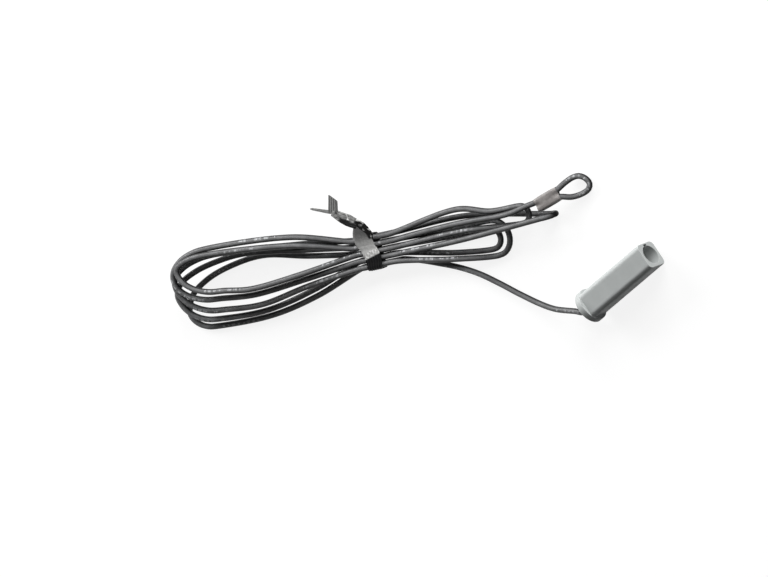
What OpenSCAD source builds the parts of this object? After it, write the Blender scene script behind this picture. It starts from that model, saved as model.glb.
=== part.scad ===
// Wired door contact: a square-bodied recessed reed sensor with a round flange,
// its two-core cable tied in a hank, and the cable's end folded into an eye.
// The sensor lies along X, open end towards +X, on the surface z = 0.

/* [Housing] */
// Side of the square body
body_w = 16; // [15.5:0.5:18]
// Radius of the body's four long edges
corner_r = 3; // [2:0.25:4.5]
// Body length from the flange shoulder to the open end
body_l = 54; // [49:1:70]
// Diameter of the round flange
flange_d = 20.5; // [20:0.5:26]
// Thickness of the flange
flange_t = 4; // [3:0.25:6]
// Rounding of the flange rim
rim_r = 0.3; // [0.3:0.1:0.9]
// Fillet between the flange shoulder and the body's flats
shoulder_fillet = 0.6; // [0.4:0.1:0.8]
// Bore of the socket in the open end
bore_d = 12; // [11:0.25:12.5]
// Bore of the chamber behind the socket
chamber_d = 10.4; // [9.6:0.1:10.4]
// Floor between the flange shoulder and the chamber
floor_t = 2; // [1.5:0.25:4]
// Depth of the socket, down to the resin
socket_depth = 12; // [6:0.5:12]
// Width of the keyway in the bore
key_w = 3; // [1.5:0.1:4]
// Depth of the keyway beyond the bore wall
key_depth = 1; // [0.4:0.1:1]

/* [Cable] */
// Outside diameter of the cable
cable_d = 3.5; // [3.3:0.1:3.6]
// Outside diameter of one insulated core
core_d = 1.2; // [1.1:0.05:1.3]
// Diameter of a stranded conductor
conductor_d = 0.76; // [0.7:0.02:0.8]
// Outside diameter of the rubber bush in the flange
bush_d = 6.4; // [5.5:0.1:8]
// Diameter of the bush's inner lip
bush_lip_d = 8; // [8:0.1:9]
// Thickness of the bush's inner lip
bush_lip_t = 1.2; // [0.8:0.1:2]
// Jacket length inside the chamber
jacket_in = 4; // [3:0.5:5]

/* [Reed switch] */
// Outside diameter of the glass
glass_d = 2.2; // [2:0.1:2.3]
// Length of the glass
glass_l = 14; // [13:0.5:14]
// Wall of the glass
glass_wall = 0.3; // [0.2:0.05:0.4]
// Length of the solid glass seal at each end
seal_l = 1.5; // [1:0.1:2]
// Diameter of the reed leads
lead_d = 0.5; // [0.45:0.05:0.6]
// Width of a blade
blade_w = 0.9; // [0.6:0.05:1]
// Thickness of a blade
blade_t = 0.2; // [0.1:0.02:0.24]
// Overlap of the blades at the contact
blade_overlap = 1.6; // [1:0.1:2.4]
// Open gap between the contacts
contact_gap = 0.14; // [0.1:0.02:0.2]
// Slit between a blade's root and its lead
root_slit = 0.04; // [0.02:0.01:0.08]
// Length of a soldered lap
lap_l = 3; // [2:0.25:3.5]
// Wall of the heat-shrink sleeves on the laps
lap_sleeve_wall = 0.4; // [0.2:0.05:0.6]
// Clearance round a lap inside its sleeve
lap_clear = 0.06; // [0.02:0.01:0.12]
// Solder standing round the lap's wires
solder_t = 0.12; // [0.06:0.02:0.2]
// Solder between the lap's two wires
solder_film = 0.06; // [0.04:0.01:0.1]

/* [Hank] */
// Clear gap between neighbouring strands
lane_gap = 0.6; // [0.55:0.05:0.9]
// Flat that the lowest strands of the hank have on the surface
rest_flat = 0.2; // [0.1:0.05:0.2]
// Thickness of the tie
tie_t = 0.8; // [0.5:0.1:1]
// Width of the tie
tie_w = 9; // [6:0.5:10]
// How far the tie bites into the cable
tie_bite = 0.1; // [0.05:0.05:0.2]
// Gap under the tie
tie_lift = 0.2; // [0.1:0.05:0.6]
// Wall of the sleeve on the eye
eye_sleeve_wall = 0.75; // [0.5:0.05:1]
// How far that sleeve bites into the cable
eye_sleeve_bite = 0.05; // [0.02:0.01:0.1]

/* [Hidden] */
$fn = 64;
eps = 0.01;
past = 1;

// Stations along the sensor's axis
axis_z = flange_d / 2;
x_flange = -(flange_t + body_l) / 2;
x_shoulder = x_flange + flange_t;
x_open = x_shoulder + body_l;
x_floor = x_shoulder + floor_t;
x_resin = x_open - socket_depth;
x_jacket = x_floor + jacket_in;

// The reed lies below the cores: the rear core laps straight on its lead,
// and the front core passes over the glass
cable_r = cable_d / 2;
core_apart = 0.6;
core_off = (core_d + core_apart) / 2;
lap_reach = (lead_d + conductor_d) / 2 + solder_film;
lap_z = -core_off;
reed_z = lap_z - lap_reach;
stub = 0.6;
knee_run = 2.2;
lap_gap = 0.8;

x_rear_core = x_jacket + jacket_in;
x_lap_rear = x_rear_core + lap_gap / 2;
x_glass = x_lap_rear + lap_l + lap_gap;
x_glass_end = x_glass + glass_l;
x_blade_rear = x_glass + seal_l;
x_blade_front = x_glass_end - seal_l;
x_contact = (x_blade_rear + x_blade_front) / 2;
x_front_core = x_glass_end + lap_gap;
x_knee = x_front_core + stub;
x_knee_end = x_knee + knee_run;
x_lap_front = x_knee_end + lap_gap / 2;
blade_z = (contact_gap + blade_t) / 2;
solder_r = (lap_reach + conductor_d) / 2 + solder_t;
lap_sleeve_r = max(solder_r, (lap_reach + core_d) / 2) + lap_clear;
lap_sleeve_ends = 0.6;

// The hank's own axes: u along its length, v across it, z up
hank_at = [-140.5, 110];
hank_turn = -23;
pitch = cable_d + lane_gap;
waist_z = tie_lift + tie_t + cable_r;
low_z = cable_r - rest_flat;
waist_in = 5;
waist_out = 9;
waist_right = 18;
hank_end_u = 16;
hank_square = 4;

// Strands at the tie, as column and row, for each loop on its near and its far side
near_lane = [[-2, 0], [-1, 0], [-2, 1], [-1, 1], [0, 1]];
far_lane = [[0, 0], [1, 0], [2, 0], [2, 1], [1, 1]];

// Loops at the left end, lowest first: reach, then places across the hank
loops = len(near_lane);
loop_mid_u = 46;
loop_reach = [139.5, 142, 139, 136, 129.5];
loop_near_mid = [-18.6, -14.5, -11.5, -7.2, -3.6];
loop_belly_u = 82;
loop_belly = [-24.4, -20.6, -16.4, -9.6, -5.6];
loop_near = [-24, -19.8, -14.8, -7.6, -3.2];
loop_tip = [-13, -1.5, 5, 8.5, 13];
loop_far = [10.8, 14.5, 18, 22.6, 19.6];
loop_far_mid = [5, 9.3, 13.4, 18.6, 14.2];
loop_near_round = [17, 26, 31, 30, 30];
loop_far_round = [62, 54, 32, 27, 20];
near_rise = [0.35, 0.25, 0.9, 0.5, 0.65];
belly_rise = 0.9;
far_rise = 0.8;

// Folds at the right end: reach, then place across and height over the lowest strand of each leg,
// and where a far leg dips on its way, also the place along it
fold_reach = [91, 97.5, 137.5, 119];
fold_mid_u = [58, 58, 70, 70];
fold_far_mid = [[-1.1, 0.1], [3, 0.1], [8.9, 0.1], [14, 5.1]];
fold_dip = [[], [], [], [[92, 8.8, 4.4]]];
fold_far = [[-1.1, 0], [3, 0], [-0.4, 0.8], [8.3, 5]];
fold_near = [[-13.6, 0], [-17.8, 0], [-0.8, 12.4], [-2, 5.1]];
fold_near_mid = [[-11.2, 0.1], [-14.2, 4.4], [-3.6, 8.9], [0.9, 5.2]];

// Route of the lead from the hank to the flange
lead_square = 5.5;
lead_route = [
    [31, -10.9, 2.3], [44, -15.2, 1.95], [57, -19.9, 1.85], [70, -26.2, 1.85], [82, -34, 1.85],
    [94, -42.4, 1.95], [107, -50.4, 2.8], [118, -55, 5]
];
// Last bend of the lead, measured back from the flange face
lead_bend = [-10, 3.4, -1];

// Route of the cable's end: along the hank, round the eye and back into its sleeve
eye_route = [
    [34, 4.9, 7], [50, 5.4, 7], [68, 5.8, 7.4], [85, 5.6, 8.6], [100, 5.3, 10.6], [112, 6, 11.2],
    [120.6, 7.6, 10.6], [128.8, 8.8, 9.6], [135.4, 10.7, 8.1], [142, 12.6, 6.6], [147, 15.4, 4.6],
    [153, 17.7, 3], [157.5, 17.9, 2.4], [161.4, 15.8, 2.1], [163.4, 12.2, 2], [161.8, 9.3, 2.1],
    [156, 7.2, 2.4], [149.5, 6.9, 4], [143.2, 8.6, 6.6], [136.6, 6.7, 8.1], [130, 4.8, 9.6]
];
sleeve_first = 7;
sleeve_last = 9;

surface = 800;
hank_sides = 6;
lead_sides = 8;
hank_steps = 2;
lead_steps = 3;
gap_parts = 3;
gap_skip = 24;

function unit(v) = v / norm(v);
function mix(a, b, t) = a + (b - a) * t;

// A point of the hank's axes in the part's frame
function at(p) = [
    hank_at.x + p.x * cos(hank_turn) - p.y * sin(hank_turn),
    hank_at.y + p.x * sin(hank_turn) + p.y * cos(hank_turn),
    p.z
];

function lane(c, u) = [u, c.x * pitch, waist_z + c.y * pitch];

function loop_level(k) = low_z + k * pitch;

// One loop: along its near lane, round the left end in two unequal quarters, back on its far lane
function loop_round(k, a) = let (
    long = a < 0 ? loop_near_round[k] : loop_far_round[k],
    wide = a < 0 ? loop_tip[k] - loop_near[k] : loop_far[k] - loop_tip[k]
) [long * (1 - cos(a)) - loop_reach[k], loop_tip[k] + wide * sin(a), loop_level(k)];

function left_loop(k) = let (top = loop_level(k), n = near_lane[k], f = far_lane[k]) concat(
    [for (u = [waist_in, -waist_in, -waist_out]) lane(n, u)],
    [[-loop_mid_u, loop_near_mid[k], mix(lane(n, 0).z, top, near_rise[k])]],
    [[-loop_belly_u, loop_belly[k], mix(lane(n, 0).z, top, belly_rise)]],
    [for (a = [-90:22.5:90]) loop_round(k, a)],
    [[-loop_mid_u, loop_far_mid[k], mix(lane(f, 0).z, top, far_rise)]],
    [for (u = [-waist_out, -waist_in, waist_in]) lane(f, u)]
);

// One fold: out along the far lane, round a half circle and back to the next near lane
function fold_round(k, a) = let (
    mid = (fold_far[k] + fold_near[k]) / 2,
    half = (fold_far[k] - fold_near[k]) / 2,
    across = mid + half * sin(a)
) [fold_reach[k] - norm(half) * (1 - cos(a)), across.x, low_z + across.y];

function fold_leg(k, p) = [fold_mid_u[k], p.x, low_z + p.y];
function right_fold(k) = concat(
    [lane(far_lane[k], waist_right), fold_leg(k, fold_far_mid[k])],
    [for (p = fold_dip[k]) p + [0, 0, low_z]],
    [for (a = [90:-30:-90]) fold_round(k, a)],
    [fold_leg(k, fold_near_mid[k]), lane(near_lane[k + 1], waist_right)]
);

hank_stations = concat(
    [for (t = [0, 0.5, 1]) lane(near_lane[0], hank_end_u - t * hank_square)],
    [for (k = [0:loops - 1]) each concat(left_loop(k), k < loops - 1 ? right_fold(k) : [])],
    [for (t = [1, 0.5, 0]) lane(far_lane[loops - 1], hank_end_u - t * hank_square)]
);
lead_stations = concat(
    [for (t = [0, 0.5, 1]) at(lane(near_lane[0], hank_end_u + t * hank_square))],
    [for (p = lead_route) at(p)],
    [[x_flange, 0, axis_z] + lead_bend],
    [for (t = [1, 0.5, 0]) [x_flange - t * lead_square, 0, axis_z]]
);
eye_stations = concat(
    [for (t = [0, 0.5, 1]) lane(far_lane[loops - 1], hank_end_u + t * hank_square)],
    eye_route
);

// Smooth curve through stations, with tangents weighted by the root of their spacing
function tangent(p, i) = let (
    a = p[i] - p[i - 1],
    b = p[i + 1] - p[i],
    s = sqrt(norm(a)),
    t = sqrt(norm(b))
) a / s - (a + b) / (s + t) + b / t;
function slope(p, i, t) = i == 0 ? (p[1] - p[0]) / t :
    i == len(p) - 1 ? (p[i] - p[i - 1]) / t : tangent(p, i);
function curve_point(p, i, t) = let (
    s = sqrt(norm(p[i + 1] - p[i])),
    a = slope(p, i, s) * s,
    b = slope(p, i + 1, s) * s,
    q = 1 - t
) p[i] * (q * q * (1 + 2 * t)) + p[i + 1] * (t * t * (3 - 2 * t)) + a * (t * q * q) - b * (t * t * q);
function curve(p, steps) = concat(
    [for (i = [0:len(p) - 2]) for (j = [0:steps - 1]) curve_point(p, i, j / steps)],
    [p[len(p) - 1]]
);

// Directions along a path, and a side direction carried along it without twist
function headings(c) = [for (i = [0:len(c) - 1]) unit(c[min(i + 1, len(c) - 1)] - c[max(i - 1, 0)])];
function carried(s, h) = unit(s - h * (s * h));
function sides_along(h) = [
    for (
        i = 0, s = carried([0, 0, 1], h[0]);
        i < len(h);
        s = carried(s, h[min(i + 1, len(h) - 1)]), i = i + 1
    ) s
];

// Least gap of a tube to itself, on points along its straight pieces
function finely(c) = [
    for (i = [0:len(c) - 2]) for (j = [0:gap_parts - 1]) mix(c[i], c[i + 1], j / gap_parts)
];
function least_gap(p) = min([
    for (i = [0:len(p) - gap_skip - 1]) for (j = [i + gap_skip:len(p) - 1]) norm(p[i] - p[j])
]) - cable_d;

hank_path = curve([for (p = hank_stations) at(p)], hank_steps);
lead_path = curve(lead_stations, lead_steps);
eye_path = curve([for (p = eye_stations) at(p)], lead_steps);

// Closed sweep along a path
function round_section(r, sides) = [for (j = [0:sides - 1]) r * [cos(360 * j / sides), sin(360 * j / sides)]];

module sweep(c, section) {
    h = headings(c);
    s = sides_along(h);
    skin([for (i = [0:len(c) - 1]) [for (q = section) c[i] + q.x * s[i] + q.y * cross(h[i], s[i])]]);
}

// Closed skin of triangles over rings of equal count, which may themselves close in a loop
module skin(rings, loop = false) {
    count = len(rings);
    sides = len(rings[0]);
    walls = [
        for (i = [0:count - (loop ? 1 : 2)]) for (j = [0:sides - 1])
            let (n = (j + 1) % sides, a = i * sides, b = (i + 1) % count * sides)
            each [[a + j, b + j, a + n], [a + n, b + j, b + n]]
    ];
    first_cap = [for (j = [1:sides - 2]) [0, j, j + 1]];
    last = (count - 1) * sides;
    last_cap = [for (j = [1:sides - 2]) [last, last + j + 1, last + j]];
    polyhedron([for (r = rings) each r], loop ? walls : concat(walls, first_cap, last_cap), convexity = 10);
}

// Things on the sensor's axis, with cylinders along X
module on_axis() {
    translate([0, 0, axis_z])
        children();
}
module along_x(x) {
    translate([x, 0, 0])
        rotate([90, 0, 90])
            children();
}
module rod(r, x0, x1, z = 0) {
    translate([x0, 0, z])
        rotate([0, 90, 0])
            cylinder(r = r, h = x1 - x0);
}

module rounded_square(w, r) {
    square([w, w - 2 * r], center = true);
    square([w - 2 * r, w], center = true);
    for (x = [-1, 1], y = [-1, 1])
        translate([x, y] * (w / 2 - r))
            circle(r = r);
}

// Half section of the flange: rounded rim, with a fillet up to the body's flats
module flange_section() {
    outer = flange_d / 2;
    flat = body_w / 2;
    union() {
        square([outer - rim_r, flange_t]);
        translate([0, rim_r])
            square([outer, flange_t - 2 * rim_r]);
        for (h = [rim_r, flange_t - rim_r])
            translate([outer - rim_r, h])
                circle(r = rim_r);
    }
    difference() {
        translate([0, flange_t - eps])
            square([flat + shoulder_fillet, shoulder_fillet + eps]);
        translate([flat + shoulder_fillet, flange_t + shoulder_fillet])
            circle(r = shoulder_fillet);
    }
}

module housing() {
    color("darkgray") on_axis() difference() {
        union() {
            translate([x_flange, 0, 0])
                rotate([0, 90, 0])
                    rotate_extrude()
                        intersection() {
                            flange_section();
                            translate([0, -past])
                                square([flange_d, flange_d]);
                        }
            along_x(x_shoulder - eps)
                linear_extrude(body_l + eps)
                    rounded_square(body_w, corner_r);
        }
        rod(chamber_d / 2, x_floor, x_open);
        rod(bore_d / 2, x_resin, x_open + past);
        rod(bush_d / 2, x_flange - past, x_floor + past);
        translate([x_resin, 0, -key_w / 2])
            cube([socket_depth + past, bore_d / 2 + key_depth, key_w]);
    }
}

module cable_bush() {
    color("dimgray") on_axis() difference() {
        union() {
            rod(bush_d / 2, x_flange, x_floor);
            rod(bush_lip_d / 2, x_floor, x_floor + bush_lip_t);
        }
        rod(cable_r, x_flange - past, x_floor + bush_lip_t + past);
    }
}

module cable_tail() {
    color("black") on_axis()
        rod(cable_r, x_flange, x_jacket);
}

// The two cores from the jacket to the bared ends lapped on the reed's leads
front_conductor_path = curve([
    [x_front_core, 0, core_off], [x_knee, 0, core_off],
    [x_knee_end, 0, lap_z], [x_lap_front, 0, lap_z], [x_lap_front + lap_l, 0, lap_z]
], lead_steps);
module front_conductor_shape() {
    sweep(front_conductor_path, round_section(conductor_d / 2, lead_sides));
}
module core_rear() {
    color("firebrick") on_axis()
        rod(core_d / 2, x_jacket, x_rear_core, -core_off);
}
module core_front() {
    color("gainsboro") on_axis()
        rod(core_d / 2, x_jacket, x_front_core, core_off);
}
module conductor_rear() {
    color("chocolate") on_axis()
        rod(conductor_d / 2, x_rear_core, x_lap_rear + lap_l, lap_z);
}
module conductor_front() {
    color("chocolate") on_axis()
        front_conductor_shape();
}

// Reed switch: glass tube with solid seals, leads through the seals, blades inside
module reed_outline() {
    rod(glass_d / 2, x_glass, x_glass_end, reed_z);
}
module reed_glass() {
    color("honeydew", 0.5) on_axis() difference() {
        reed_outline();
        rod(glass_d / 2 - glass_wall, x_blade_rear, x_blade_front, reed_z);
        rod(lead_d / 2, x_glass - past, x_glass_end + past, reed_z);
    }
}
module reed_lead_rear() {
    color("silver") on_axis()
        rod(lead_d / 2, x_lap_rear, x_blade_rear, reed_z);
}
module reed_lead_front() {
    color("silver") on_axis()
        rod(lead_d / 2, x_blade_front, x_lap_front + lap_l, reed_z);
}
// A blade with a round root, from its root's centre to its tip
module blade(root, tip, side) {
    translate([0, 0, reed_z + side * blade_z]) {
        translate([min(root, tip), -blade_w / 2, -blade_t / 2])
            cube([abs(tip - root), blade_w, blade_t]);
        translate([root, 0, 0])
            rotate([90, 0, 0])
                cylinder(d = blade_t, h = blade_w, center = true);
    }
}
module reed_blade_rear() {
    color("gold") on_axis()
        blade(x_blade_rear + root_slit + blade_t / 2, x_contact + blade_overlap / 2, 1);
}
module reed_blade_front() {
    color("gold") on_axis()
        blade(x_blade_front - root_slit - blade_t / 2, x_contact - blade_overlap / 2, -1);
}

// Solder round the lap of a lead and a conductor
module solder(x0) {
    difference() {
        rod(solder_r, x0 + solder_r / 2, x0 + lap_l - solder_r / 2, (reed_z + lap_z) / 2);
        rod(lead_d / 2, x0 - past, x0 + lap_l + past, reed_z);
        rod(conductor_d / 2, x0 - past, x0 + lap_l + past, lap_z);
    }
}
module solder_rear() {
    color("lightgray") on_axis()
        solder(x_lap_rear);
}
module solder_front() {
    color("lightgray") on_axis()
        solder(x_lap_front);
}

// Heat-shrink sleeves over the laps
module lap_sleeve_outline(x0) {
    over = lap_sleeve_ends;
    rod(lap_sleeve_r + lap_sleeve_wall, x0 - over, x0 + lap_l + over, (reed_z + lap_z) / 2);
}
module lap_sleeve(x0) {
    difference() {
        lap_sleeve_outline(x0);
        rod(lap_sleeve_r, x0 - past, x0 + lap_l + past, (reed_z + lap_z) / 2);
    }
}
module lap_sleeve_rear() {
    color("darkslategray") on_axis()
        lap_sleeve(x_lap_rear);
}
module lap_sleeve_front() {
    color("darkslategray") on_axis()
        lap_sleeve(x_lap_front);
}

// Potting resin: fills the chamber round everything up to the socket
module resin() {
    color("black") on_axis() difference() {
        rod(chamber_d / 2, x_floor, x_resin);
        rod(bush_lip_d / 2, x_floor - past, x_floor + bush_lip_t);
        rod(cable_r, x_floor - past, x_jacket);
        rod(core_d / 2, x_jacket, x_rear_core, -core_off);
        rod(core_d / 2, x_jacket, x_front_core, core_off);
        rod(conductor_d / 2, x_rear_core, x_lap_rear, lap_z);
        front_conductor_shape();
        reed_outline();
        rod(lead_d / 2, x_lap_rear, x_lap_front + lap_l, reed_z);
        lap_sleeve_outline(x_lap_rear);
        lap_sleeve_outline(x_lap_front);
    }
}

module cable_lead() {
    color("black")
        sweep(lead_path, round_section(cable_r, lead_sides));
}
module cable_hank() {
    echo(least_gap_of_the_hank_to_itself_mm = least_gap(finely(hank_path)));
    color("black") difference() {
        sweep(hank_path, round_section(cable_r, hank_sides));
        translate([-surface / 2, -surface / 2, -past])
            cube([surface, surface, past]);
    }
}
module cable_eye() {
    color("black")
        sweep(eye_path, round_section(cable_r, lead_sides));
}

// Shapes on the hank's axes, and shapes whose +Z runs from one point to another
module on_hank() {
    translate([hank_at.x, hank_at.y, 0])
        rotate([0, 0, hank_turn])
            children();
}
module between(a, b) {
    d = b - a;
    translate(a)
        rotate([0, acos(d.z / norm(d)), atan2(d.y, d.x)])
            children();
}
module oval(long, short) {
    square([short, long - short], center = true);
    for (y = [-1, 1])
        translate([0, y * (long - short) / 2])
            circle(d = short);
}

// Flat heat-shrink sleeve round the two strands of the eye
module eye_sleeve() {
    fold_back = len(eye_route) - 1;
    from = at((eye_route[sleeve_first] + eye_route[fold_back]) / 2);
    to = at((eye_route[sleeve_last] + eye_route[fold_back - sleeve_last + sleeve_first]) / 2);
    apart = norm(eye_route[sleeve_first] - eye_route[fold_back]);
    inner = cable_d - 2 * eye_sleeve_bite;
    grow = 2 * eye_sleeve_wall;
    color("gray") between(from, to)
        linear_extrude(norm(to - from))
            difference() {
                oval(apart + inner + grow, inner + grow);
                oval(apart + inner, inner);
            }
}

// Twist tie: a strip round the strands, its two ends gathered, twisted together and spread.
// Middle of the strip along the hank and its width, by the place across the hank on the upper side
tie_mid = [[-8.2, 3.3], [-5, 4], [-2, 3.7], [1, 2.8], [4, 1.3], [8.2, 1.4]];
tie_wide = [[-8.2, 10.4], [-5, 11.2], [-2, 11.3], [1, 11.6], [4, 11.2], [8.2, 9.5]];
tie_under = [1.6, 8.4];
tie_parts = 8;
tie_corner = [0, 22.5, 45, 67.5, 90];
// Ends of the strip, as places, widths and directions across
tie_upper_end = [
    [[1.3, 4, 9.3], 11.2, [1, 0, 0]], [[0.4, 8.4, 9.7], 12.6, [1, 0, 0]], [[1.2, 12, 11.2], 10.5, [1, 0, 0]],
    [[2.6, 15.6, 13.6], 7, [1, 0, 0]], [[3.9, 19.2, 16.4], 4.8, [1, 0, 0]]
];
tie_lower_end = [
    [[5.6, 8.4, 9.2], 3, [0.88, 0.48, 0]], [[6.5, 10.4, 9.8], 3.2, [0.88, 0.48, 0]],
    [[7, 14.7, 13], 4.4, [0.88, 0.48, 0]], [[5.4, 18.6, 16.4], 5.4, [0.88, 0.48, 0]],
    [[3.6, 20, 17.8], 5.4, [0.88, 0.48, 0]]
];
tie_twist = [
    [[4.4, 18.4, 16.6], 5.6, [-0.2, -0.76, 0.77]], [[3.2, 19.7, 17.7], 6.4, [-0.26, -0.76, 0.7]],
    [[1.1, 22.2, 19.8], 7, [-0.42, -0.76, 0.52]], [[-0.6, 24.2, 21.6], 6.4, [-0.55, -0.76, 0.36]],
    [[-3.7, 27.6, 23.6], 4.8, [-0.68, -0.76, 0.21]], [[-5.2, 28.9, 24], 4.2, [-0.7, -0.7, 0.1]]
];
tie_twist_t = 1.6;
tie_spread_z = 24;
tie_flag = [[-7.4, 29], [-7.2, 31], [-4.4, 39.4], [0.4, 34.8], [-1, 29.2], [-3, 27.4]];
tie_tail = [[-4.6, 27.6], [-4.2, 29.6], [-7.4, 30.8], [-18.6, 34], [-20, 33.8], [-18.8, 32.6], [-8.4, 28.8]];

function tie_ring(p, across, out, wide, thick) = let (a = across * wide / 2, o = out * thick / 2)
    [p + a + o, p - a + o, p - a - o, p + a - o];

module tie_strip(run, thick) {
    c = curve([for (s = run) s[0]], lead_steps);
    h = headings(c);
    skin([
        for (i = [0:len(c) - 1]) let (
            k = min(floor(i / lead_steps), len(run) - 2),
            f = i / lead_steps - k,
            across = carried(mix(run[k][2], run[k + 1][2], f), h[i])
        ) tie_ring(c[i], across, cross(h[i], across), mix(run[k][1], run[k + 1][1], f), thick)
    ]);
}
// A place on the band: corner it goes round, direction outwards, then its middle and its width
function tie_place(v, z, a, mid, wide) = let (
    out = [0, cos(a), sin(a)],
    r = cable_r - tie_bite + tie_t / 2
) tie_ring([mid, v, waist_z + pitch / 2 + z] + r * out, [1, 0, 0], out, wide, tie_t);
function tie_down(a) = let (f = (a - 90) / 180)
    [mix(lookup(-9, tie_mid), tie_under.x, f), mix(lookup(-9, tie_wide), tie_under.y, f)];

module tie_band() {
    half = [2 * pitch, pitch / 2];
    skin(concat(
        [for (i = [0:tie_parts]) let (v = half.x * (1 - 2 * i / tie_parts))
            tie_place(v, half.y, 90, lookup(v, tie_mid), lookup(v, tie_wide))],
        [for (a = tie_corner) if (a > 0) let (m = tie_down(90 + a))
            tie_place(-half.x, half.y, 90 + a, m.x, m.y)],
        [for (a = tie_corner) let (m = tie_down(180 + a))
            tie_place(-half.x, -half.y, 180 + a, m.x, m.y)],
        [for (a = tie_corner) tie_place(half.x, -half.y, 270 + a, tie_under.x, tie_under.y)],
        [for (a = tie_corner) if (a < 90) tie_place(half.x, half.y, a, tie_under.x, tie_under.y)]
    ), loop = true);
}
module tie_ends() {
    tie_strip(tie_upper_end, tie_t);
    tie_strip(tie_lower_end, tie_t);
    tie_strip(tie_twist, tie_twist_t);
    translate([0, 0, tie_spread_z - tie_t / 2])
        linear_extrude(tie_t) {
            polygon(tie_flag);
            polygon(tie_tail);
        }
}
module twist_tie() {
    color("darkslategray") on_hank() {
        tie_band();
        tie_ends();
    }
}

housing();
cable_bush();
cable_tail();
resin();
reed_glass();
reed_lead_rear();
reed_lead_front();
reed_blade_rear();
reed_blade_front();
core_rear();
core_front();
conductor_rear();
conductor_front();
solder_rear();
solder_front();
lap_sleeve_rear();
lap_sleeve_front();
cable_lead();
cable_hank();
cable_eye();
eye_sleeve();
twist_tie();
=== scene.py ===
import math

import bpy
from mathutils import Matrix, Vector, noise


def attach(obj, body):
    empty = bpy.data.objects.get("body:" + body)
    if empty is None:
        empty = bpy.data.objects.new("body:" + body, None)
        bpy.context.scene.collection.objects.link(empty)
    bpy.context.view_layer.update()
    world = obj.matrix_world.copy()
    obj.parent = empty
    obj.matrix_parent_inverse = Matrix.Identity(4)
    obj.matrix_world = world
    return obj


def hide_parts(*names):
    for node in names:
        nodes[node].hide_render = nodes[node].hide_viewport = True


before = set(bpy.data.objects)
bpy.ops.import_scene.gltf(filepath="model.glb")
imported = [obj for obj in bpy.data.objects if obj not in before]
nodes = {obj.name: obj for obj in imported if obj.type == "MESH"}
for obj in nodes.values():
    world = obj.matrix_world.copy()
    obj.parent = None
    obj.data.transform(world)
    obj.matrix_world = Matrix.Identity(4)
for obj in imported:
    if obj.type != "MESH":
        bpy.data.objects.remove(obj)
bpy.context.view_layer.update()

scene = bpy.context.scene
scene.view_settings.view_transform = "Standard"

# Lengths below are in millimetres; meshes are written in metres.
MM = 0.001
TAU = 2 * math.pi

# Sensor, along X at the height of the flange's radius
BODY = 16.0
CORNER = 3.0
FLANGE_R = 10.25
BORE_R = 6.0
CHAMBER_R = 5.2
KEY_HALF = 1.5
KEY_DEPTH = 1.0
BUSH_R = 3.2
X_FLANGE = -29.0
X_SHOULDER = -25.0
X_FLOOR = -23.0
X_RESIN = 17.0
X_OPEN = 29.0
AXIS_Z = 10.25
CABLE_R = 1.75


def mix(a, b, t):
    return a + (b - a) * t


def step(a, b, x):
    t = min(max((x - a) / (b - a), 0.0), 1.0)
    return t * t * (3 - 2 * t)


# Camera: without perspective, and rolled, as in the photograph
RIGHT = Vector((0.62638, -0.54623, -0.55613))
DOWN = Vector((-0.53141, -0.82118, 0.20802))
LOOK = Vector((-0.57030, 0.16523, -0.80464))
FAR = 2.0
VIEW_WIDTH = 0.447
AIM_RIGHT = -142.95
AIM_DOWN = 6.595
camera = bpy.data.objects.new("camera", bpy.data.cameras.new("camera"))
scene.collection.objects.link(camera)
scene.camera = camera
camera.data.type = "ORTHO"
camera.data.ortho_scale = VIEW_WIDTH
camera.data.clip_start = 0.05
camera.data.clip_end = 100
aim = (RIGHT * AIM_RIGHT + DOWN * AIM_DOWN) * MM - LOOK * FAR
turned = Matrix((RIGHT, -DOWN, -LOOK)).transposed().to_4x4()
camera.matrix_world = Matrix.Translation(aim) @ turned


# Meshes
def make(name, verts, faces, sharp=40):
    mesh = bpy.data.meshes.new(name)
    mesh.from_pydata([(v[0] * MM, v[1] * MM, v[2] * MM) for v in verts], [], faces)
    mesh.polygons.foreach_set("use_smooth", [True] * len(mesh.polygons))
    mesh.update()
    mesh.set_sharp_from_angle(angle=math.radians(sharp))
    obj = bpy.data.objects.new(name, mesh)
    scene.collection.objects.link(obj)
    return obj


def skin(rings, along=False, caps=False, start=0):
    """Faces over rings of equal count; the rings themselves are closed."""
    n = len(rings[0])
    m = len(rings)
    faces = []
    for i in range(m if along else m - 1):
        a = start + i * n
        b = start + (i + 1) % m * n
        for j in range(n):
            k = (j + 1) % n
            faces.append((a + j, a + k, b + k, b + j))
    if caps:
        faces.append(tuple(start + j for j in reversed(range(n))))
        faces.append(tuple(start + (m - 1) * n + j for j in range(n)))
    return [p for ring in rings for p in ring], faces


def spline(p, spacing):
    """Points on the smooth curve through p, about spacing apart."""
    def slope(i):
        if i == 0:
            a = p[1] - p[0]
            return a / math.sqrt(a.length)
        if i == len(p) - 1:
            a = p[i] - p[i - 1]
            return a / math.sqrt(a.length)
        a = p[i] - p[i - 1]
        b = p[i + 1] - p[i]
        s = math.sqrt(a.length)
        t = math.sqrt(b.length)
        return a / s - (a + b) / (s + t) + b / t
    out = []
    for i in range(len(p) - 1):
        chord = (p[i + 1] - p[i]).length
        m0 = slope(i) * math.sqrt(chord)
        m1 = slope(i + 1) * math.sqrt(chord)
        count = max(2, round(chord / spacing))
        for k in range(count):
            t = k / count
            out.append(
                p[i] * (2 * t**3 - 3 * t**2 + 1) + m0 * (t**3 - 2 * t**2 + t)
                + p[i + 1] * (3 * t**2 - 2 * t**3) + m1 * (t**3 - t**2)
            )
    out.append(p[-1])
    return out


def tangents(path):
    last = len(path) - 1
    return [(path[min(i + 1, last)] - path[max(i - 1, 0)]).normalized() for i in range(last + 1)]


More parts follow.
